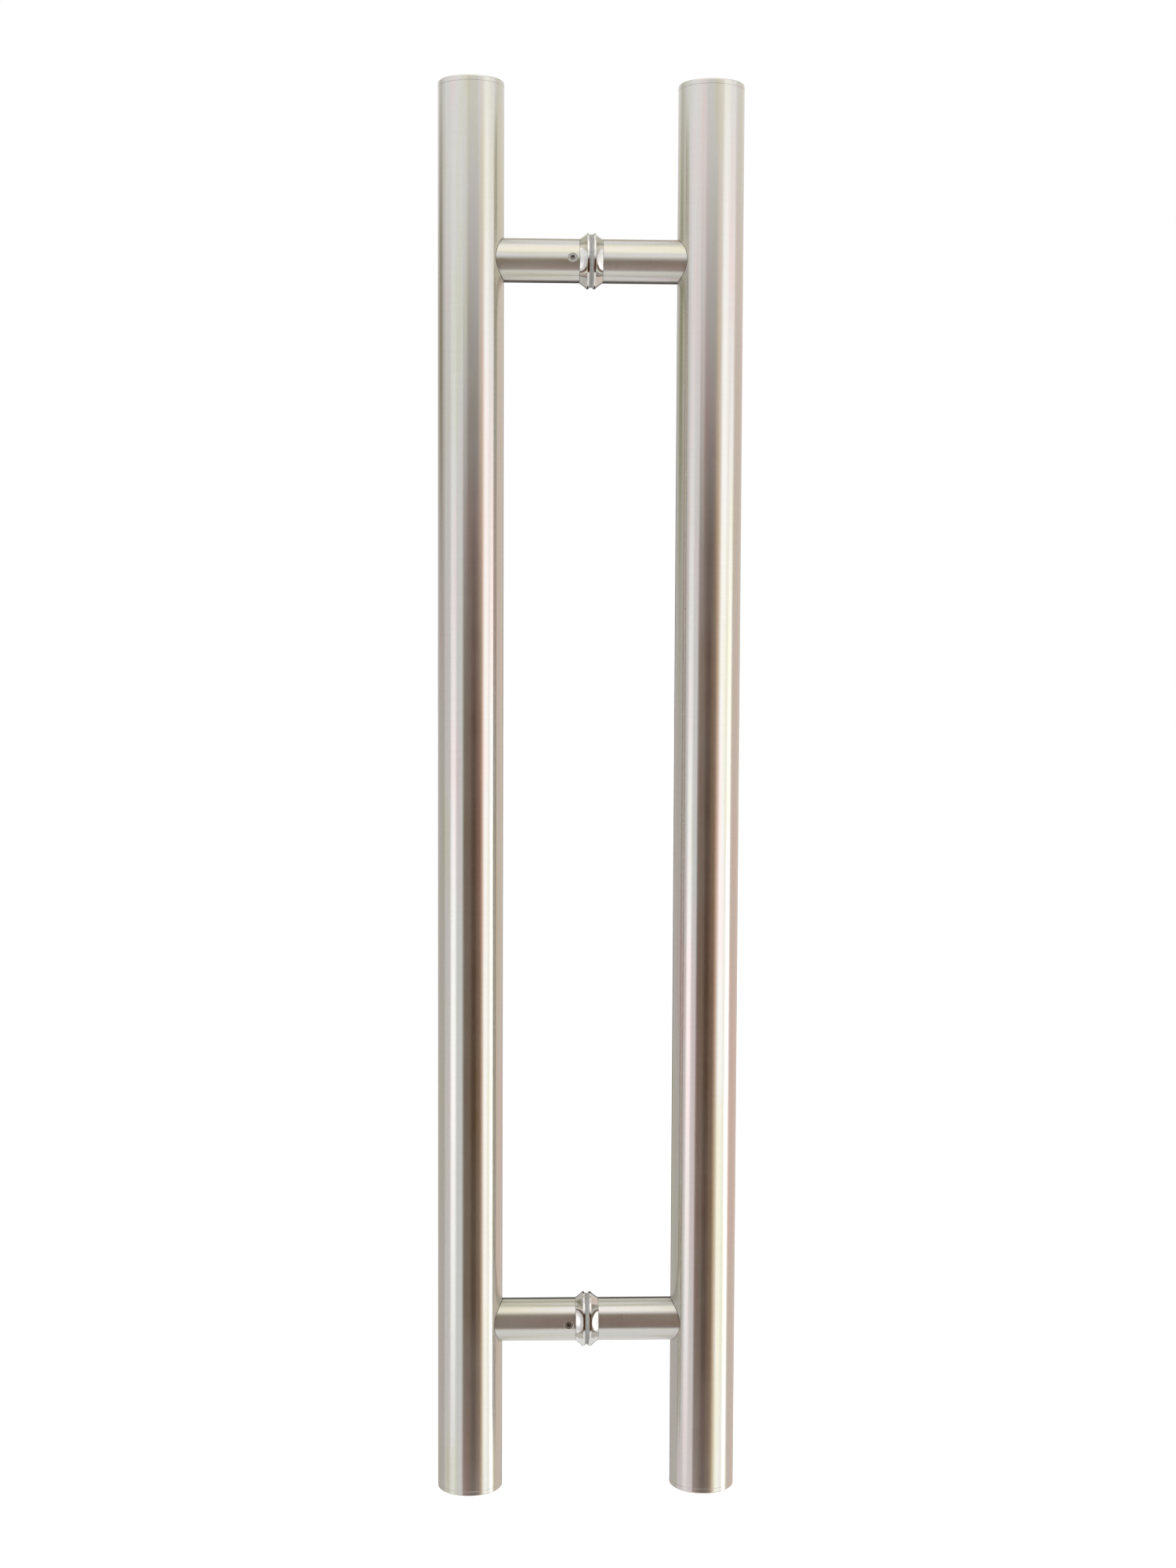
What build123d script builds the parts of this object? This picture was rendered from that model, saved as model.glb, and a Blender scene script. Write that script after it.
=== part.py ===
from build123d import *
import os
from math import sqrt

# Back-to-back tubular pull handle for a glass door, clamped together with no door in between.
# Millimetres. +Z is up along the grip tubes, +X goes through the door from the left handle to the
# right one, and the set screws face -Y. The origin is the middle of the door's mid-plane.

# Grip tubes
TUBE_DIAMETER = 38.0
TUBE_WALL = 1.5
POST_SPACING = 620.0  # between the axes of the upper and lower posts
END_OVERHANG = 100.0  # from a post's axis to the capped end of the tube
HAND_CLEARANCE = 50.0  # from the door's mid-plane to the near side of a grip tube

# End caps, each a disc on the tube's end with a hollow spigot inside the tube
CAP_THICKNESS = 3.0
CAP_EDGE_RADIUS = 0.8
CAP_SPIGOT_LENGTH = 8.0
CAP_SPIGOT_WALL = 2.0
CAP_SEAM = 0.2  # chamfer that marks the joint with the tube
CAP_FIT = 0.1  # radial room of the spigot in the tube

# Posts, coped to sit on the tubes
POST_DIAMETER = 25.0
POST_EDGE = 0.25  # chamfer at the door end
SADDLE_GAP = 0.1  # room between the coped end and the tube

# Collars and gaskets
COLLAR_STEP = 3.3  # how far the rim stands out from the post
COLLAR_RIM_WIDTH = 1.7
COLLAR_FLARE_LENGTH = 3.8  # from the rim back to the post
COLLAR_COVE = 0.15  # hollow of the flare below a straight cone
COLLAR_EDGE = 0.4  # chamfer on the rim's two edges
GASKET_PROUD = 1.1  # what stands out of the collar towards the door
GASKET_SEAT = 0.8  # what sits inside the collar
GASKET_INSET = 0.7  # from the collar's rim in to the gasket's seat
GASKET_FIT = 0.1
GASKET_EDGE = 0.25

# Clamp studs
STUD_DIAMETER = 8.0
STUD_GRIP = 18.0  # thread inside the right post
STUD_END_ROOM = 1.5  # past each end of the stud
STUD_CHAMFER = 0.8
STUD_CLEARANCE = 0.3  # radial room in the collars and gaskets
THREAD_FIT = 0.05  # radial room between a screw and its plain modelled thread
DOOR_ALLOWANCE = 10.0  # spare stud behind the hub, for the thickness of the glass

# Anchor hubs inside the left posts
HUB_DIAMETER = 15.0
HUB_LENGTH = 11.0
HUB_FIT = 0.1  # radial room in the post
HUB_CHAMFER = 0.5
HUB_GROOVE_DEPTH = 1.5  # V-groove with 45 degree flanks
HUB_SLOT_WIDTH = 2.0  # driver slot in the hub's back end
HUB_SLOT_DEPTH = 2.0

# Set screws in the left posts
SET_SCREW_DIAMETER = 5.0
SET_SCREW_SETBACK = 4.2  # from the post's door end to the screw's axis
SET_SCREW_RECESS = 0.5  # below the post's surface
SET_SCREW_COUNTERSINK = 0.4  # widening of the hole's mouth
SET_SCREW_SOCKET = 2.5  # across the flats
SET_SCREW_SOCKET_DEPTH = 2.2
SET_SCREW_TIP_ROOM = 0.1  # between the cone point and the bottom of the groove

# Post screws, which hold the posts from inside the tubes, and their saddle washers
POST_SCREW_DIAMETER = 6.0
POST_SCREW_GRIP = 8.0  # thread inside the post
POST_SCREW_END_ROOM = 1.0
POST_SCREW_CLEARANCE = 0.3  # radial room in the tube's wall and the washer
POST_SCREW_HEAD_DIAMETER = 11.0
POST_SCREW_HEAD_HEIGHT = 3.5
POST_SCREW_HEAD_CHAMFER = 1.0
POST_SCREW_SOCKET = 4.0  # across the flats
POST_SCREW_SOCKET_DEPTH = 2.0
WASHER_DIAMETER = 14.0
WASHER_EDGE = 1.0  # thickness where it is thinnest
WASHER_FIT = 0.05  # room between the washer and the tube's bore

# Sizes that follow
TUBE_RADIUS = TUBE_DIAMETER / 2
BORE_RADIUS = TUBE_RADIUS - TUBE_WALL
TUBE_AXIS = HAND_CLEARANCE + TUBE_RADIUS
UPPER = POST_SPACING / 2
LOWER = -UPPER
TUBE_TOP = UPPER + END_OVERHANG - CAP_THICKNESS
POST_RADIUS = POST_DIAMETER / 2
RIM_RADIUS = POST_RADIUS + COLLAR_STEP
SEAT_RADIUS = RIM_RADIUS - GASKET_INSET
SEAT_FLOOR = GASKET_PROUD + GASKET_SEAT
RIM_BACK = GASKET_PROUD + COLLAR_RIM_WIDTH
COLLAR_BACK = RIM_BACK + COLLAR_FLARE_LENGTH
STUD_RADIUS = STUD_DIAMETER / 2
STUD_HOLE_RADIUS = STUD_RADIUS + STUD_CLEARANCE
STUD_THREAD_RADIUS = STUD_RADIUS + THREAD_FIT
HUB_RADIUS = HUB_DIAMETER / 2
HUB_BACK = COLLAR_BACK + HUB_LENGTH
STUD_BACK = HUB_BACK + DOOR_ALLOWANCE
STUD_FRONT = COLLAR_BACK + STUD_GRIP
SET_SCREW_PLACE = COLLAR_BACK + SET_SCREW_SETBACK
SET_SCREW_RADIUS = SET_SCREW_DIAMETER / 2
SET_SCREW_TOP = POST_RADIUS - SET_SCREW_RECESS
GROOVE_RADIUS = HUB_RADIUS - HUB_GROOVE_DEPTH
POST_SCREW_RADIUS = POST_SCREW_DIAMETER / 2
POST_SCREW_TIP = HAND_CLEARANCE - POST_SCREW_GRIP
WASHER_RADIUS = WASHER_DIAMETER / 2
WASHER_FACE = TUBE_AXIS - sqrt(BORE_RADIUS**2 - WASHER_RADIUS**2) + WASHER_EDGE

SIDES = ("left", "right")
LEVELS = {"upper": UPPER, "lower": LOWER}


def turned(outline, axis=Axis.X):
    """Solid of revolution from a closed outline in a plane that holds the axis."""
    return revolve(make_face(outline), axis=axis)


def rod(radius, start, end):
    """Round bar on the X axis."""
    return extrude(Plane.YZ.offset(start) * Circle(radius), amount=end - start)


def upright(radius, height):
    """Round bar on the axis of the right grip tube, centred on its length."""
    return Pos(TUBE_AXIS, 0, 0) * Cylinder(radius, height)


def hex_socket(plane, across_flats, depth):
    """Hexagonal recess that goes down from a plane, against its normal."""
    flat = RegularPolygon(across_flats / 2, side_count=6, major_radius=False)
    return extrude(plane * flat, amount=-depth)


def on_side(shape, side):
    """Leaves a piece on the right side, where it is made, or mirrors it to the left."""
    return shape if side == "right" else mirror(shape, about=Plane.YZ)


def at_joint(shape, side, level):
    """Puts a piece made at mid-height at one of the four post joints."""
    return Pos(0, 0, LEVELS[level]) * on_side(shape, side)


def grip_tube():
    """Right grip tube, with a hole in its near wall for each post screw."""
    tube = upright(TUBE_RADIUS, 2 * TUBE_TOP) - upright(BORE_RADIUS, 2 * TUBE_TOP)
    hole = rod(POST_SCREW_RADIUS + POST_SCREW_CLEARANCE, HAND_CLEARANCE, TUBE_AXIS)
    for level in LEVELS.values():
        tube -= Pos(0, 0, level) * hole
    return tube


def end_cap(level):
    """Cap of the right tube, made for its upper end and mirrored for the lower one."""
    spigot_radius = BORE_RADIUS - CAP_FIT
    section = Polyline(
        (0, 0),
        (spigot_radius - CAP_SPIGOT_WALL, 0),
        (spigot_radius - CAP_SPIGOT_WALL, -CAP_SPIGOT_LENGTH),
        (spigot_radius, -CAP_SPIGOT_LENGTH),
        (spigot_radius, 0),
        (TUBE_RADIUS - CAP_SEAM, 0),
        (TUBE_RADIUS, CAP_SEAM),
        (TUBE_RADIUS, CAP_THICKNESS),
        (0, CAP_THICKNESS),
        close=True,
    )
    cap = turned(Plane.XZ * section, Axis.Z)
    rim = cap.edges().filter_by(GeomType.CIRCLE).group_by(Axis.Z)[-1]
    cap = Pos(TUBE_AXIS, 0, TUBE_TOP) * fillet(rim, CAP_EDGE_RADIUS)
    return cap if level == "upper" else mirror(cap, about=Plane.XY)


def post_blank():
    """Right post with its saddle end and the tapped hole for the post screw."""
    section = Polyline(
        (COLLAR_BACK, 0),
        (COLLAR_BACK, POST_RADIUS - POST_EDGE),
        (COLLAR_BACK + POST_EDGE, POST_RADIUS),
        (TUBE_AXIS, POST_RADIUS),
        (TUBE_AXIS, 0),
        close=True,
    )
    blank = turned(section) - upright(TUBE_RADIUS + SADDLE_GAP, 2 * POST_DIAMETER)
    tapped = rod(POST_SCREW_RADIUS + THREAD_FIT, POST_SCREW_TIP - POST_SCREW_END_ROOM, TUBE_AXIS)
    return blank - tapped


def threaded_post():
    """Post of the right handle, with a blind tapped hole for the stud."""
    return post_blank() - rod(STUD_THREAD_RADIUS, COLLAR_BACK, STUD_FRONT + STUD_END_ROOM)


def locking_post():
    """Post of the left handle, bored to slide over the hub and tapped for the set screw."""
    bore = rod(HUB_RADIUS + HUB_FIT, COLLAR_BACK, STUD_BACK + STUD_END_ROOM)
    hole_radius = SET_SCREW_RADIUS + THREAD_FIT
    mouth_radius = hole_radius + SET_SCREW_COUNTERSINK
    mouth_floor = POST_RADIUS - SET_SCREW_COUNTERSINK
    section = Polyline(
        (0, 0),
        (hole_radius, 0),
        (hole_radius, -mouth_floor),
        (mouth_radius, -POST_RADIUS),
        (0, -POST_RADIUS),
        close=True,
    )
    return post_blank() - bore - Pos(SET_SCREW_PLACE, 0, 0) * turned(section, Axis.Y)


def collar():
    """Turned ring with a hollow flare up from the post, a rim and a seat for the gasket."""
    flare_start = (RIM_BACK, RIM_RADIUS - COLLAR_EDGE)
    flare_end = (COLLAR_BACK, POST_RADIUS)
    flare = SagittaArc(flare_start, flare_end, -COLLAR_COVE)
    rest = Polyline(
        flare_end,
        (COLLAR_BACK, STUD_HOLE_RADIUS),
        (SEAT_FLOOR, STUD_HOLE_RADIUS),
        (SEAT_FLOOR, SEAT_RADIUS),
        (GASKET_PROUD, SEAT_RADIUS),
        (GASKET_PROUD, RIM_RADIUS - COLLAR_EDGE),
        (GASKET_PROUD + COLLAR_EDGE, RIM_RADIUS),
        (RIM_BACK - COLLAR_EDGE, RIM_RADIUS),
        flare_start,
    )
    return turned(flare + rest)


def gasket():
    """Soft ring in the collar's seat, whose face would lie on the glass."""
    outer_radius = SEAT_RADIUS - GASKET_FIT
    section = Polyline(
        (0, STUD_HOLE_RADIUS),
        (0, outer_radius - GASKET_EDGE),
        (GASKET_EDGE, outer_radius),
        (SEAT_FLOOR, outer_radius),
        (SEAT_FLOOR, STUD_HOLE_RADIUS),
        close=True,
    )
    return turned(section)


def anchor_hub():
    """Nut on the stud's left end, with a V-groove for the set screw and a driver slot."""
    section = Polyline(
        (COLLAR_BACK, STUD_THREAD_RADIUS),
        (COLLAR_BACK, HUB_RADIUS - HUB_CHAMFER),
        (COLLAR_BACK + HUB_CHAMFER, HUB_RADIUS),
        (SET_SCREW_PLACE - HUB_GROOVE_DEPTH, HUB_RADIUS),
        (SET_SCREW_PLACE, GROOVE_RADIUS),
        (SET_SCREW_PLACE + HUB_GROOVE_DEPTH, HUB_RADIUS),
        (HUB_BACK - HUB_CHAMFER, HUB_RADIUS),
        (HUB_BACK, HUB_RADIUS - HUB_CHAMFER),
        (HUB_BACK, STUD_THREAD_RADIUS),
        close=True,
    )
    slot = Pos(HUB_BACK, 0, 0) * Box(2 * HUB_SLOT_DEPTH, HUB_DIAMETER, HUB_SLOT_WIDTH)
    return turned(section) - slot


def clamp_stud():
    """Stud from inside the right post, through both collars, to the hub in the left post."""
    stud = rod(STUD_RADIUS, -STUD_BACK, STUD_FRONT)
    return chamfer(stud.edges().filter_by(GeomType.CIRCLE), STUD_CHAMFER)


def set_screw():
    """Socket screw with a 90 degree cone point, which points at the hub's groove from -Y."""
    tip = GROOVE_RADIUS + SET_SCREW_TIP_ROOM
    section = Polyline(
        (0, -tip),
        (SET_SCREW_RADIUS, -tip - SET_SCREW_RADIUS),
        (SET_SCREW_RADIUS, -SET_SCREW_TOP),
        (0, -SET_SCREW_TOP),
        close=True,
    )
    top = Plane.XZ.offset(SET_SCREW_TOP)
    socket = hex_socket(top, SET_SCREW_SOCKET, SET_SCREW_SOCKET_DEPTH)
    return Pos(SET_SCREW_PLACE, 0, 0) * (turned(section, Axis.Y) - socket)


def post_screw():
    """Socket screw through the tube's near wall into the post, with its head inside the tube."""
    head_top = WASHER_FACE + POST_SCREW_HEAD_HEIGHT
    head = rod(POST_SCREW_HEAD_DIAMETER / 2, WASHER_FACE, head_top)
    crown = head.edges().filter_by(GeomType.CIRCLE).sort_by(Axis.X)[-1]
    head = chamfer(crown, POST_SCREW_HEAD_CHAMFER)
    socket = hex_socket(Plane.YZ.offset(head_top), POST_SCREW_SOCKET, POST_SCREW_SOCKET_DEPTH)
    return head + rod(POST_SCREW_RADIUS, POST_SCREW_TIP, WASHER_FACE) - socket


def saddle_washer():
    """Washer that is flat under the screw's head and curved to the tube's bore."""
    disc = rod(WASHER_RADIUS, HAND_CLEARANCE, WASHER_FACE)
    curved = disc & upright(BORE_RADIUS - WASHER_FIT, WASHER_DIAMETER)
    return curved - rod(POST_SCREW_RADIUS + POST_SCREW_CLEARANCE, HAND_CLEARANCE, WASHER_FACE)


def build_nodes():
    """All pieces in place, by node name. Like fasteners share one node."""
    nodes = {}
    posts = {"left": locking_post(), "right": threaded_post()}
    joint_pieces = {"collar": collar(), "gasket": gasket()}
    for side in SIDES:
        nodes[f"{side}_grip_tube"] = on_side(grip_tube(), side)
        for level in LEVELS:
            nodes[f"{side}_{level}_end_cap"] = on_side(end_cap(level), side)
            nodes[f"{side}_{level}_post"] = at_joint(posts[side], side, level)
            for name, piece in joint_pieces.items():
                nodes[f"{side}_{level}_{name}"] = at_joint(piece, side, level)
    for level in LEVELS:
        nodes[f"{level}_anchor_hub"] = at_joint(anchor_hub(), "left", level)
    nodes["clamp_studs"] = Compound([at_joint(clamp_stud(), "right", level) for level in LEVELS])
    nodes["set_screws"] = Compound([at_joint(set_screw(), "left", level) for level in LEVELS])
    joints = [(side, level) for side in SIDES for level in LEVELS]
    nodes["post_screws"] = Compound([at_joint(post_screw(), *joint) for joint in joints])
    nodes["saddle_washers"] = Compound([at_joint(saddle_washer(), *joint) for joint in joints])
    return nodes


os.makedirs("parts", exist_ok=True)
for node_name, node_shape in build_nodes().items():
    export_step(node_shape, f"parts/{node_name}.step")
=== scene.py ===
"""Looks of the double-sided tubular door pull: steel, rubber, a white studio and the photograph's camera."""
import math
from collections import namedtuple

import bmesh
import bpy
from mathutils import Matrix, Vector


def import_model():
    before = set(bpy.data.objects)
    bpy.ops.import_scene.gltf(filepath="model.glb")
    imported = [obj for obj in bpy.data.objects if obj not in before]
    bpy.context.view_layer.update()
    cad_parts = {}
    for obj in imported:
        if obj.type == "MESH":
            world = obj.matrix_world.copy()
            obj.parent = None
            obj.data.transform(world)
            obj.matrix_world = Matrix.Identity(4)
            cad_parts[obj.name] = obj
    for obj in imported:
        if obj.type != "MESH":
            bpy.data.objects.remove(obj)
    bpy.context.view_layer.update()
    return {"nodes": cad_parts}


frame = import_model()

NODES = frame["nodes"]
SCENE = bpy.context.scene
MM = 0.001

# Camera, from a fit of the handle's edges in the photograph. The angles are in radians.
IMAGE_HEIGHT = 2000
FOCAL_PIXELS = 2757.3
SENSOR = 36.0
CAMERA_PLACE = Vector((-50.4, -1261.0, 87.6)) * MM
CAMERA_PITCH = 0.06286
CAMERA_YAW = -0.03957
CAMERA_ROLL = 0.00174
CAMERA_REACH = 100.0

# Studio, in metres: the handle hangs at door height over a pale floor, inside a ring of cards
FLOOR_LEVEL = -1.05
FLOOR_REACH = 30.0
FLOOR_COLOUR = (0.93, 0.93, 0.92, 1.0)
FLOOR_LIFT = 0.35
WORLD_DIFFUSE = 0.8
KEY_PLACE = (-1.6, -2.0, 2.4)
KEY_SIZE = 1.6
KEY_POWER = 40

# Upright cards stand on a circle, in flat faces of at most CARD_STEP degrees. Azimuths are in degrees from
# the camera's side, growing towards +X, and heights are in metres. A card's cover fades to nothing over its
# soft angles and soft heights. Where two cards overlap, the one with the smaller radius hides the other.
CARD_STEP = 3.0
NEAR, MIDDLE, FAR = 0.62, 0.85, 1.15
# Lower edges, each with its soft height
HUNG = (-0.92, 0.28)
GROUNDED = (FLOOR_LEVEL, 0.01)
Card = namedtuple("Card", "name radius start end soft_start soft_end bottom soft_bottom top soft_top colour")
CARDS = (
    Card("flag_left", NEAR, -33.5, 1, 4, 9, *HUNG, 0.43, 0.3, (0.195, 0.135, 0.095)),
    Card("flag_right", NEAR, 11, 39.5, 9, 10, *HUNG, 0.4, 0.32, (0.21, 0.127, 0.075)),
    Card("dark_core", MIDDLE, -20, 30, 8, 8, -1.04, 0.2, 0.58, 0.32, (0.075, 0.028, 0.006)),
    Card("warm_edge", NEAR + 0.01, 24, 46, 4, 8, *HUNG, 0.62, 0.4, (0.82, 0.58, 0.4)),
    Card("right_glow", FAR - 0.03, 71, 92, 7, 6, *GROUNDED, 0.35, 0.5, (2.1, 2.07, 2.03)),
    Card("right_panel", FAR - 0.02, 40, 72, 6, 14, *GROUNDED, 0.9, 0.55, (1.44, 1.43, 1.42)),
    Card("right_side", FAR - 0.01, 54, 94, 4, 6, *GROUNDED, 0.9, 0.55, (1.13, 1.11, 1.08)),
    Card("right_wall", FAR, 88, 160, 6, 8, *GROUNDED, 0.8, 0.4, (0.76, 0.65, 0.57)),
    Card("left_strip", FAR - 0.01, -77, -51, 7, 6, -0.85, 0.45, 0.42, 0.9, (1.75, 1.75, 1.77)),
    Card("left_grey", FAR, -75, -25, 6, 4, *GROUNDED, 0.7, 0.5, (0.79, 0.8, 0.81)),
    Card("left_side", FAR + 0.02, -102, -70, 8, 6, *GROUNDED, 0.63, 0.22, (0.75, 0.72, 0.72)),
    Card("left_olive", FAR + 0.025, -142, -112, 8, 6, 0.15, 0.2, 0.72, 0.15, (0.26, 0.26, 0.16)),
    Card("left_wall", FAR + 0.03, -165, -96, 8, 8, *GROUNDED, 0.78, 0.3, (0.57, 0.54, 0.51)),
    Card("back_flag", FAR + 0.04, 155, 200, 8, 8, *GROUNDED, 0.8, 0.6, (0.1, 0.085, 0.075)),
    Card("back_top", FAR + 0.05, 105, 255, 10, 10, 0.8, 0.3, 2.4, 0.5, (0.56, 0.55, 0.45)),
)
OVERHEAD_HEIGHT = 1.25
OVERHEAD_REACH = 1.3
OVERHEAD_SOFT = 0.25
OVERHEAD_COLOUR = (1.35, 1.3, 1.27)

# Finishes. Colours are linear. Most of a noise lies between its low and high levels. Noise scales are per
# metre: one for all directions, a pair for along the axis and across it, or three for X, Y and Z. Depths are
# of the fine relief, in metres. A shade is what fine lines or grain multiply a colour by, and a blur is how
# far highlights are drawn out along the axis. Two noise levels under a name such as SPOTTED are where a
# change begins and where it is full.
NOISE_LOW, NOISE_HIGH = 0.3, 0.7
QUARTER_TURN = 0.25

# Brushed steel of the tubes, the posts and the caps' sides. It turns rose above one level of its tint noise
# and olive below another, gradually over the tint's reach.
STEEL = (0.68, 0.672, 0.645, 1.0)
STEEL_ROSE = (0.73, 0.63, 0.615, 1.0)
STEEL_OLIVE = (0.665, 0.655, 0.54, 1.0)
STEEL_WORN = (0.8, 0.79, 0.76, 1.0)
# Strength of the painted shade in brushed steel's corners
STEEL_CORNER_SHADE = 0.6
BRUSH_LINES, BRUSH_TINTS, BRUSH_PATCHES = (3200, 45), (4, 75), (16, 34)
BRUSH_DEPTH = 5e-7
BRUSH_SHADE = (0.98, 1.02)
ROSE_FROM, OLIVE_FROM = 0.51, 0.49
PATCH_ROUGHNESS, LINE_ROUGHNESS = 0.025, 0.01
TUBE_TINT_REACH, TUBE_ROUGHNESS, TUBE_BLUR = 0.12, 0.24, 0.9
POST_TINT_REACH, POST_ROUGHNESS, POST_BLUR = 0.08, 0.3, 0.96

# Faced steel of the caps' ends. Scales and the rim are in widths of the cap, the rim from its middle. The
# side's finish turns into the end's between two shares of the normal that lie along the axis.
RINGS, SMUDGES = 150, 5
SMUDGED = (0.35, 0.7)
RING_DEPTH = 2e-6
RING_SHADE = (0.94, 1.04)
FACED_ROUGHNESS, RING_ROUGHNESS = (0.34, 0.42), 0.03
RIM, RIM_WEAR = (0.465, 0.485), 0.4
END_TURN = (0.8, 0.97)

# Buffed steel of the collars
POLISHED = (0.76, 0.75, 0.73, 1.0)
POLISHED_DULL = (0.66, 0.65, 0.635, 1.0)
POLISHED_WORN = (0.88, 0.87, 0.85, 1.0)
# Strength of the painted shade in the collars' corners
POLISHED_CORNER_SHADE = 0.5
BUFF_LINES, BUFF_SPOTS, BUFF_HAIRS = (4200, 30), 260, (900, 120, 260)
SPOTTED, DULLED, SCRATCHED = (0.5, 0.75), (0.4, 0.75), (0.62, 0.7)
BUFF_DEPTH = 6e-7
BUFF_SHADE = (0.96, 1.03)
BUFF_ROUGHNESS, HAIR_ROUGHNESS, BUFF_BLUR = (0.09, 0.16), 0.08, 0.35

# Zinc plate of the fasteners inside, the pitches of their threads, and the wave texture's length at scale 1
ZINC = (0.6, 0.62, 0.64, 1.0)
ZINC_YELLOW = (0.62, 0.58, 0.46, 1.0)
ZINC_WORN = (0.42, 0.4, 0.38, 1.0)
PLATE_LINES, PLATE_CLOUDS = (2600, 60), 190
CLOUDED = (0.45, 0.7)
PLATE_DEPTH = 4e-6
PLATE_SHADE = (0.93, 1.04)
PLATE_ROUGHNESS, PLATE_BLUR = (0.28, 0.42), 0.4
STUD_PITCH = 1.25 * MM
SCREW_PITCH = 1.0 * MM
WAVE_UNIT = math.pi / 10

# Rubber of the gaskets
RUBBER = (0.35, 0.345, 0.33, 1.0)
RUBBER_PALE = (0.45, 0.445, 0.43, 1.0)
RUBBER_GRAIN, RUBBER_DUST = 3000, 320
DUSTED = (0.42, 0.7)
RUBBER_DEPTH, RUBBER_RELIEF = 2e-5, 0.6
RUBBER_SHADE = (0.9, 1.06)
RUBBER_ROUGHNESS, RUBBER_SHEEN = (0.5, 0.72), 0.4

# Steel of the set screws
SCREW = (0.66, 0.65, 0.62, 1.0)
SCREW_DULL = (0.46, 0.445, 0.42, 1.0)
# Strength of the painted shade in the set screws' sockets and recesses
SCREW_CORNER_SHADE = 0.9
SCREW_GRAIN, SCREW_MOTTLE = 6000, 1400
MOTTLED = (0.4, 0.65)
SCREW_DEPTH = 2e-6
SCREW_ROUGHNESS, SCREW_BLUR = (0.3, 0.45), 0.2

# Wear reaches in from an edge and painted shade out of a corner, in metres. Wear begins and is full at two
# likenesses of the edge's rounded normal to the plain one, and painted shade at two opennesses of the
# corner.
# Colour of the painted shade in corners
PAINTED_SHADE = (0.13, 0.115, 0.1, 1.0)
WEAR_REACH, EDGE_LIKENESS = 0.35 * MM, (0.99, 0.9)
CORNER_SHADE_REACH, CORNER_OPENNESS = 2.0 * MM, (0.8, 0.3)
WEAR_PATCHED, WEAR_LEAST = (0.35, 0.6), 0.25
CORNER_SHADE_PATCHED = (0.3, 0.6)
NEARBY_SAMPLES = 4


def add(tree, kind, inputs=None, **settings):
    """A shader node with its settings made and its inputs set to values or linked to sockets."""
    node = tree.nodes.new(kind)
    for name, value in settings.items():
        setattr(node, name, value)
    for name, value in (inputs or {}).items():
        if isinstance(value, bpy.types.NodeSocket):
            tree.links.new(value, node.inputs[name])
        else:
            node.inputs[name].default_value = value
    return node


def new_material(name):
    """An empty node material and its tree."""
    material = bpy.data.materials.new(name)
    material.use_nodes = True
    material.node_tree.nodes.clear()
    return material, material.node_tree


def output(tree, shader):
    """Sends a shader to the surface."""
    add(tree, "ShaderNodeOutputMaterial", {"Surface": shader.outputs[0]})


def object_place(tree):
    """Coordinates in metres, in the piece's own frame."""
    return add(tree, "ShaderNodeTexCoord").outputs["Object"]


def stretched(tree, source, scale):
    """Coordinates multiplied by a scale for each axis."""
    mapping = add(tree, "ShaderNodeMapping", {"Vector": source, "Scale": scale})
    return mapping.outputs["Vector"]


def along(axis, lengthwise, across):
    """Scales for X, Y and Z, with one for the axis and another for the two directions across it."""
    return tuple(lengthwise if letter == axis else across for letter in "XYZ")


def noise(tree, vector, scale=1.0, detail=4.0, roughness=0.6):
    """A noise value from 0 to 1."""
    node = add(tree, "ShaderNodeTexNoise",
               {"Vector": vector, "Scale": scale, "Detail": detail, "Roughness": roughness})
    return node.outputs["Fac"]


def remap(tree, value, low, high, to_low, to_high):
    """A value carried from one range to another and clamped there."""
    node = add(tree, "ShaderNodeMapRange", {"Value": value, "From Min": low, "From Max": high,
                                            "To Min": to_low, "To Max": to_high})
    return node.outputs["Result"]


def swing(tree, value, low, high):
    """A noise value carried to a range."""
    return remap(tree, value, NOISE_LOW, NOISE_HIGH, low, high)


def math_node(tree, operation, a, b=0.0):
    """One operation on a number, or on two."""
    return add(tree, "ShaderNodeMath", {0: a, 1: b}, operation=operation).outputs[0]


def mix_number(tree, factor, a, b):
    """A mix of two numbers."""
    return add(tree, "ShaderNodeMix", {0: factor, 2: a, 3: b}).outputs[0]


def mix_colour(tree, factor, a, b, blend="MIX"):
    """A mix of two colours."""
    node = add(tree, "ShaderNodeMix", {0: factor, 6: a, 7: b}, data_type="RGBA", blend_type=blend)
    return node.outputs[2]


def turning(tree, colour, other, value, low, high):
    """A colour that turns into another as a value goes from low to high."""
    return mix_colour(tree, remap(tree, value, low, high, 0, 1), colour, other)


def shaded(tree, colour, value, low, high):
    """A colour times a noise value carried to a range."""
    shade = swing(tree, value, low, high)
    grey = add(tree, "ShaderNodeCombineColor", {"Red": shade, "Green": shade, "Blue": shade})
    return mix_colour(tree, 1.0, colour, grey.outputs["Color"], "MULTIPLY")


def edges(tree):
    """1 along an edge and 0 on open surface, from how far the edge's rounding turns the normal."""
    rounded = add(tree, "ShaderNodeBevel", {"Radius": WEAR_REACH}, samples=NEARBY_SAMPLES).outputs["Normal"]
    plain = add(tree, "ShaderNodeNewGeometry").outputs["Normal"]
    likeness = add(tree, "ShaderNodeVectorMath", {0: rounded, 1: plain}, operation="DOT_PRODUCT")
    return remap(tree, likeness.outputs["Value"], *EDGE_LIKENESS, 0, 1)


def worn(tree, colour, bare, breakup):
    """A colour rubbed through to another along the edges, in patches."""
    rubbed = math_node(tree, "MULTIPLY", edges(tree), remap(tree, breakup, *WEAR_PATCHED, WEAR_LEAST, 1))
    return mix_colour(tree, rubbed, colour, bare)


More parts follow.
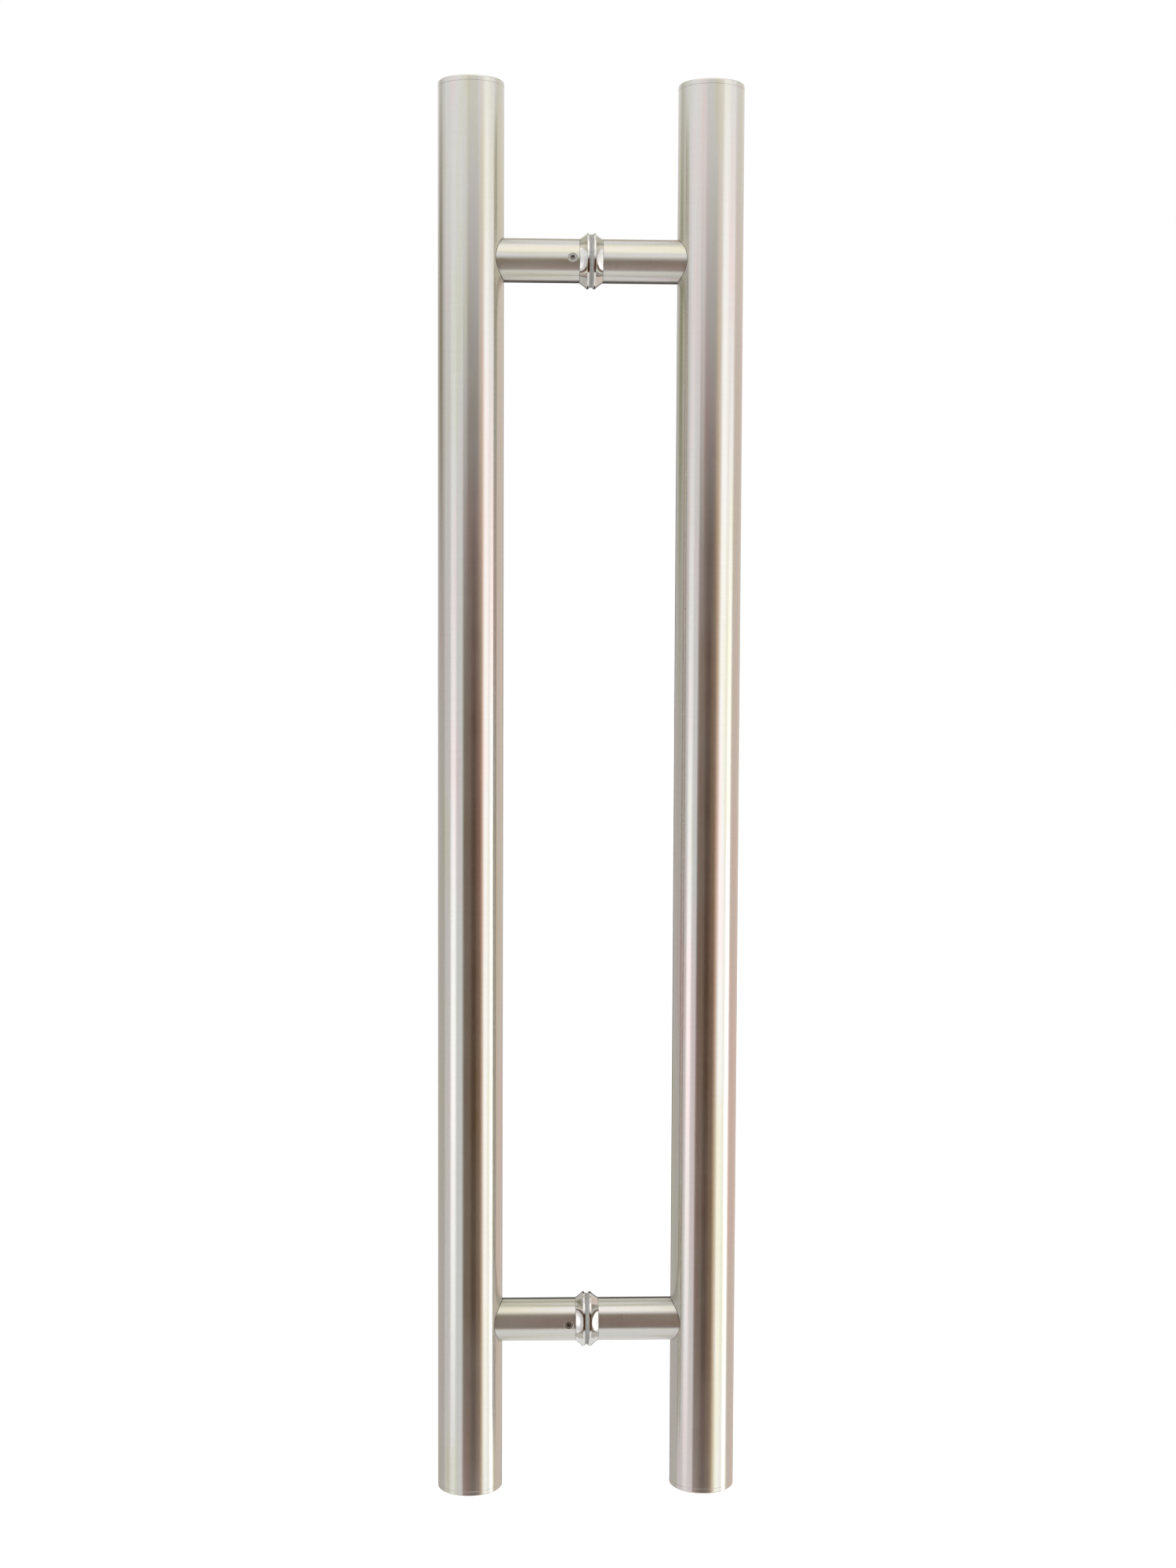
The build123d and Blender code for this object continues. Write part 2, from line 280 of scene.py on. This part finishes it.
def corner_shaded(tree, colour, breakup, amount):
    """A colour with painted shade in its corners, found by ambient occlusion, in patches, by up to an
    amount.
    """
    openness = add(tree, "ShaderNodeAmbientOcclusion", {"Distance": CORNER_SHADE_REACH},
                   samples=NEARBY_SAMPLES).outputs["AO"]
    most = remap(tree, breakup, *CORNER_SHADE_PATCHED, amount / 2, amount)
    deep = math_node(tree, "MULTIPLY", remap(tree, openness, *CORNER_OPENNESS, 0, 1), most)
    # Painted shade: corners darkened by ambient occlusion, in patches
    return mix_colour(tree, deep, colour, PAINTED_SHADE)


def metal(tree, axis, colour, rough, height, depth, blur):
    """Bare metal whose highlights are drawn out along the axis, across its fine lines."""
    bump = add(tree, "ShaderNodeBump", {"Strength": 1.0, "Distance": depth, "Height": height})
    tangent = add(tree, "ShaderNodeTangent", direction_type="RADIAL", axis=axis)
    output(tree, add(tree, "ShaderNodeBsdfPrincipled",
                     {"Base Color": colour, "Metallic": 1.0, "Roughness": rough,
                      "Anisotropic": blur, "Anisotropic Rotation": QUARTER_TURN,
                      "Tangent": tangent.outputs["Tangent"], "Normal": bump.outputs["Normal"]}))


def brushed_finish(tree, axis, tint_reach, roughness):
    """Satin steel, brushed round the axis: fine lines, long faint tints and dull handled patches.

    Gives the colour and roughness, and the lines and patches that they are made from."""
    place = object_place(tree)
    lines = noise(tree, stretched(tree, place, along(axis, *BRUSH_LINES)), detail=3)
    tint = noise(tree, stretched(tree, place, along(axis, *BRUSH_TINTS)), detail=5, roughness=0.65)
    patch = noise(tree, stretched(tree, place, along(axis, *BRUSH_PATCHES)), detail=5)
    colour = turning(tree, STEEL, STEEL_ROSE, tint, ROSE_FROM, ROSE_FROM + tint_reach)
    colour = turning(tree, colour, STEEL_OLIVE, tint, OLIVE_FROM, OLIVE_FROM - tint_reach)
    colour = shaded(tree, colour, lines, *BRUSH_SHADE)
    rough = math_node(tree, "ADD",
                      swing(tree, patch, roughness - PATCH_ROUGHNESS, roughness + PATCH_ROUGHNESS),
                      swing(tree, lines, -LINE_ROUGHNESS, LINE_ROUGHNESS))
    return colour, rough, lines, patch


def tube_steel(name):
    """A grip tube's brushed steel, with painted shade where the posts sit on it."""
    material, tree = new_material(name)
    colour, rough, lines, patch = brushed_finish(tree, "Z", TUBE_TINT_REACH, TUBE_ROUGHNESS)
    # Painted shade darkens the tube where the posts meet it
    metal(tree, "Z", corner_shaded(tree, colour, patch, STEEL_CORNER_SHADE), rough, lines, BRUSH_DEPTH, TUBE_BLUR)
    return material


def post_steel(name):
    """A post's brushed steel, rubbed along its edges, with painted shade at its two ends."""
    material, tree = new_material(name)
    colour, rough, lines, patch = brushed_finish(tree, "X", POST_TINT_REACH, POST_ROUGHNESS)
    # Painted shade in the corners at the post's two ends, over real edge wear
    colour = corner_shaded(tree, worn(tree, colour, STEEL_WORN, patch), patch, STEEL_CORNER_SHADE)
    metal(tree, "X", colour, rough, lines, BRUSH_DEPTH, POST_BLUR)
    return material


def faced_finish(tree):
    """Steel faced in a lathe: rings about the middle, smudges and a worn rim.

    Gives the colour and roughness, and the rings that they are made from."""
    spread = add(tree, "ShaderNodeTexCoord").outputs["Generated"]
    middle = add(tree, "ShaderNodeVectorMath", {0: spread, 1: (-0.5, -0.5, 0)}, operation="ADD")
    flat = add(tree, "ShaderNodeVectorMath", {0: middle.outputs[0], 1: (1, 1, 0)}, operation="MULTIPLY")
    radius = add(tree, "ShaderNodeVectorMath", {0: flat.outputs[0]}, operation="LENGTH").outputs["Value"]
    rings = add(tree, "ShaderNodeTexNoise", {"W": radius, "Scale": RINGS, "Detail": 3},
                noise_dimensions="1D").outputs["Fac"]
    smudge = noise(tree, spread, SMUDGES, detail=5)
    colour = turning(tree, STEEL, STEEL_OLIVE, smudge, *SMUDGED)
    colour = mix_colour(tree, remap(tree, radius, *RIM, 0, RIM_WEAR), colour, STEEL_WORN)
    colour = shaded(tree, colour, rings, *RING_SHADE)
    rough = math_node(tree, "ADD", swing(tree, smudge, *FACED_ROUGHNESS),
                      swing(tree, rings, -RING_ROUGHNESS, RING_ROUGHNESS))
    return colour, rough, rings


def cap_steel(name):
    """A cap: the tube's finish on its side, and a faced end."""
    material, tree = new_material(name)
    side_colour, side_rough = brushed_finish(tree, "Z", TUBE_TINT_REACH, TUBE_ROUGHNESS)[:2]
    end_colour, end_rough, rings = faced_finish(tree)
    normal = add(tree, "ShaderNodeTexCoord").outputs["Normal"]
    slope = add(tree, "ShaderNodeSeparateXYZ", {"Vector": normal}).outputs["Z"]
    end = remap(tree, math_node(tree, "ABSOLUTE", slope), *END_TURN, 0, 1)
    colour = mix_colour(tree, end, side_colour, end_colour)
    metal(tree, "Z", colour, mix_number(tree, end, side_rough, end_rough), rings, RING_DEPTH, TUBE_BLUR)
    return material


def polished_steel(name):
    """A buffed turned ring: faint tool lines, dull spots and a few hair scratches."""
    material, tree = new_material(name)
    place = object_place(tree)
    lines = noise(tree, stretched(tree, place, along("X", *BUFF_LINES)), detail=2)
    spots = noise(tree, place, BUFF_SPOTS, detail=5)
    hairs = noise(tree, stretched(tree, place, BUFF_HAIRS), detail=2, roughness=0.5)
    colour = turning(tree, POLISHED, POLISHED_DULL, spots, *SPOTTED)
    # Painted shade in the collars' corners, over real edge wear
    colour = corner_shaded(tree, worn(tree, colour, POLISHED_WORN, hairs), spots, POLISHED_CORNER_SHADE)
    colour = shaded(tree, colour, lines, *BUFF_SHADE)
    rough = math_node(tree, "ADD", remap(tree, spots, *DULLED, *BUFF_ROUGHNESS),
                      remap(tree, hairs, *SCRATCHED, 0, HAIR_ROUGHNESS))
    metal(tree, "X", colour, rough, lines, BUFF_DEPTH, BUFF_BLUR)
    return material


def plated_steel(name, axis, thread_pitch=None):
    """Zinc plate on turned steel, yellowed in places, with the screw thread's ridges if it has one."""
    material, tree = new_material(name)
    place = object_place(tree)
    cloud = noise(tree, place, PLATE_CLOUDS, detail=5)
    lines = noise(tree, stretched(tree, place, along(axis, *PLATE_LINES)), detail=3)
    colour = turning(tree, ZINC, ZINC_YELLOW, cloud, *CLOUDED)
    colour = worn(tree, colour, ZINC_WORN, cloud)
    colour = shaded(tree, colour, lines, *PLATE_SHADE)
    rough = swing(tree, cloud, *PLATE_ROUGHNESS)
    if thread_pitch is None:
        metal(tree, axis, colour, rough, lines, PLATE_DEPTH, PLATE_BLUR)
    else:
        ridge = add(tree, "ShaderNodeTexWave", {"Vector": place, "Scale": WAVE_UNIT / thread_pitch},
                    bands_direction=axis, wave_profile="TRI").outputs["Fac"]
        metal(tree, axis, colour, rough, ridge, thread_pitch / 2, 0.0)
    return material


def rubber(name):
    """Matt grey gasket rubber with a fine moulded grain and pale dust."""
    material, tree = new_material(name)
    place = object_place(tree)
    grain = noise(tree, place, RUBBER_GRAIN, detail=3)
    dust = noise(tree, place, RUBBER_DUST, detail=6, roughness=0.7)
    colour = turning(tree, RUBBER, RUBBER_PALE, dust, *DUSTED)
    colour = worn(tree, colour, RUBBER_PALE, dust)
    colour = shaded(tree, colour, grain, *RUBBER_SHADE)
    bump = add(tree, "ShaderNodeBump",
               {"Strength": RUBBER_RELIEF, "Distance": RUBBER_DEPTH, "Height": grain})
    output(tree, add(tree, "ShaderNodeBsdfPrincipled",
                     {"Base Color": colour, "Roughness": swing(tree, dust, *RUBBER_ROUGHNESS),
                      "Specular IOR Level": RUBBER_SHEEN, "Normal": bump.outputs["Normal"]}))
    return material


def screw_steel(name):
    """Plain screw steel, dulled in a fine mottle."""
    material, tree = new_material(name)
    place = object_place(tree)
    mottle = noise(tree, place, SCREW_MOTTLE)
    grain = noise(tree, place, SCREW_GRAIN, detail=2)
    colour = turning(tree, SCREW, SCREW_DULL, mottle, *MOTTLED)
    # Painted shade in the hex socket and the recess, over real edge wear
    colour = corner_shaded(tree, worn(tree, colour, STEEL_WORN, mottle), mottle, SCREW_CORNER_SHADE)
    metal(tree, "Y", colour, swing(tree, mottle, *SCREW_ROUGHNESS), grain, SCREW_DEPTH, SCREW_BLUR)
    return material


def dress(material, *names):
    """Gives CAD nodes one material."""
    for name in names:
        mesh = NODES[name].data
        mesh.materials.clear()
        mesh.materials.append(material)


def named(ending):
    """The nodes whose names end so."""
    return [name for name in NODES if name.endswith(ending)]


def camera():
    """The photograph's camera, whose sensor's width lies along the picture's longer side, its height."""
    data = bpy.data.cameras.new("photo_camera")
    data.sensor_width = SENSOR
    data.lens = FOCAL_PIXELS / IMAGE_HEIGHT * SENSOR
    data.clip_end = CAMERA_REACH
    level = Matrix(((1, 0, 0), (0, 0, -1), (0, 1, 0)))
    turn = (Matrix.Rotation(CAMERA_ROLL, 3, "Z") @ Matrix.Rotation(CAMERA_YAW, 3, "Y")
            @ Matrix.Rotation(CAMERA_PITCH, 3, "X"))
    right, down, ahead = turn @ level
    place = Matrix((right, -down, -ahead)).transposed().to_4x4()
    place.translation = CAMERA_PLACE
    item = bpy.data.objects.new("photo_camera", data)
    item.matrix_world = place
    SCENE.collection.objects.link(item)
    SCENE.camera = item


def world():
    """White to the camera and in reflections, and a plain level for all else."""
    sky = bpy.data.worlds.new("white_studio")
    sky.use_nodes = True
    tree = sky.node_tree
    tree.nodes.clear()
    path = add(tree, "ShaderNodeLightPath").outputs
    seen = math_node(tree, "MAXIMUM", path["Is Camera Ray"], path["Is Glossy Ray"])
    strength = remap(tree, seen, 0, 1, WORLD_DIFFUSE, 1)
    back = add(tree, "ShaderNodeBackground", {"Color": (1, 1, 1, 1), "Strength": strength})
    add(tree, "ShaderNodeOutputWorld", {"Surface": back.outputs[0]})
    SCENE.world = sky


def floor():
    """A wide pale floor below the handle, lifted to white for the camera alone."""
    mesh = bpy.data.meshes.new("floor")
    shape = bmesh.new()
    bmesh.ops.create_grid(shape, size=FLOOR_REACH)
    shape.to_mesh(mesh)
    shape.free()
    item = bpy.data.objects.new("floor", mesh)
    item.location.z = FLOOR_LEVEL
    material, tree = new_material("floor")
    eye = add(tree, "ShaderNodeLightPath").outputs["Is Camera Ray"]
    lift = add(tree, "ShaderNodeEmission", {"Strength": math_node(tree, "MULTIPLY", eye, FLOOR_LIFT)})
    matt = add(tree, "ShaderNodeBsdfDiffuse", {"Color": FLOOR_COLOUR})
    output(tree, add(tree, "ShaderNodeAddShader", {0: matt.outputs[0], 1: lift.outputs[0]}))
    mesh.materials.append(material)
    SCENE.collection.objects.link(item)


def glowing_sheet(name, mesh, cover, colour):
    """A stage object from a mesh that glows evenly where it covers and that only reflections see.

    The cover lists, for each of the mesh's two UV axes, its length and the soft lengths at its two ends."""
    material, tree = new_material(name)
    uv = add(tree, "ShaderNodeUVMap", uv_map="sheet")
    spot = add(tree, "ShaderNodeSeparateXYZ", {"Vector": uv.outputs["UV"]}).outputs
    clear = add(tree, "ShaderNodeBsdfTransparent")
    glow = add(tree, "ShaderNodeEmission", {"Color": (*colour, 1), "Strength": 1.0})
    amount = 1.0
    for axis, length, low, high in cover:
        amount = math_node(tree, "MULTIPLY", amount, remap(tree, spot[axis], 0, low / length, 0, 1))
        amount = math_node(tree, "MULTIPLY", amount, remap(tree, spot[axis], 1, 1 - high / length, 0, 1))
    output(tree, add(tree, "ShaderNodeMixShader", {0: amount, 1: clear.outputs[0], 2: glow.outputs[0]}))
    mesh.materials.append(material)
    item = bpy.data.objects.new(name, mesh)
    item.visible_camera = False
    item.visible_diffuse = False
    item.visible_shadow = False
    item.visible_transmission = False
    SCENE.collection.objects.link(item)


def sheet_mesh(name, columns):
    """A mesh of one row of faces between columns of two points, with its UVs from 0 to 1."""
    mesh = bpy.data.meshes.new(name)
    shape = bmesh.new()
    grid = shape.loops.layers.uv.new("sheet")
    rows = [[shape.verts.new(point) for point in column] for column in columns]
    count = len(rows) - 1
    for step in range(count):
        (a, d), (b, c) = rows[step:step + 2]
        face = shape.faces.new((a, b, c, d))
        for loop, (u, v) in zip(face.loops, ((0, 0), (1, 0), (1, 1), (0, 1))):
            loop[grid].uv = ((step + u) / count, v)
    shape.to_mesh(mesh)
    shape.free()
    return mesh


def card(plan):
    """An upright curved card round the handle."""
    sweep = plan.end - plan.start
    height = plan.top - plan.bottom
    count = math.ceil(sweep / CARD_STEP)
    columns = []
    for step in range(count + 1):
        turn = math.radians(plan.start + sweep * step / count)
        x, y = plan.radius * math.sin(turn), -plan.radius * math.cos(turn)
        columns.append([(x, y, plan.bottom), (x, y, plan.top)])
    cover = (("X", sweep, plan.soft_start, plan.soft_end), ("Y", height, plan.soft_bottom, plan.soft_top))
    glowing_sheet(plan.name, sheet_mesh(plan.name, columns), cover, plan.colour)


def overhead():
    """A bright level sheet above the handle, on the camera's side."""
    columns = [[(x, 0.0, OVERHEAD_HEIGHT), (x, -OVERHEAD_REACH, OVERHEAD_HEIGHT)]
               for x in (-OVERHEAD_REACH, OVERHEAD_REACH)]
    cover = (("X", 2 * OVERHEAD_REACH, OVERHEAD_SOFT, OVERHEAD_SOFT),
             ("Y", OVERHEAD_REACH, OVERHEAD_SOFT, OVERHEAD_SOFT))
    glowing_sheet("overhead", sheet_mesh("overhead", columns), cover, OVERHEAD_COLOUR)


def lamp(name, place, size, power):
    """A square soft box aimed at the handle's middle, which reflections don't see."""
    data = bpy.data.lights.new(name, "AREA")
    data.size = size
    data.energy = power
    item = bpy.data.objects.new(name, data)
    item.location = place
    item.rotation_euler = (-Vector(place)).to_track_quat("-Z", "Y").to_euler()
    item.visible_glossy = False
    SCENE.collection.objects.link(item)


SCENE.view_settings.view_transform = "Standard"
camera()
world()
floor()
for plan in CARDS:
    card(plan)
overhead()
lamp("key", KEY_PLACE, KEY_SIZE, KEY_POWER)

dress(tube_steel("satin_tube"), *named("_grip_tube"))
dress(post_steel("satin_post"), *named("_post"))
dress(cap_steel("faced_cap"), *named("_end_cap"))
dress(polished_steel("polished_collar"), *named("_collar"))
dress(rubber("gasket_rubber"), *named("_gasket"))
dress(plated_steel("plated_hub", "X"), *named("_anchor_hub"), "saddle_washers")
dress(plated_steel("plated_stud", "X", STUD_PITCH), "clamp_studs")
dress(plated_steel("plated_screw", "X", SCREW_PITCH), "post_screws")
dress(screw_steel("screw_steel"), "set_screws")
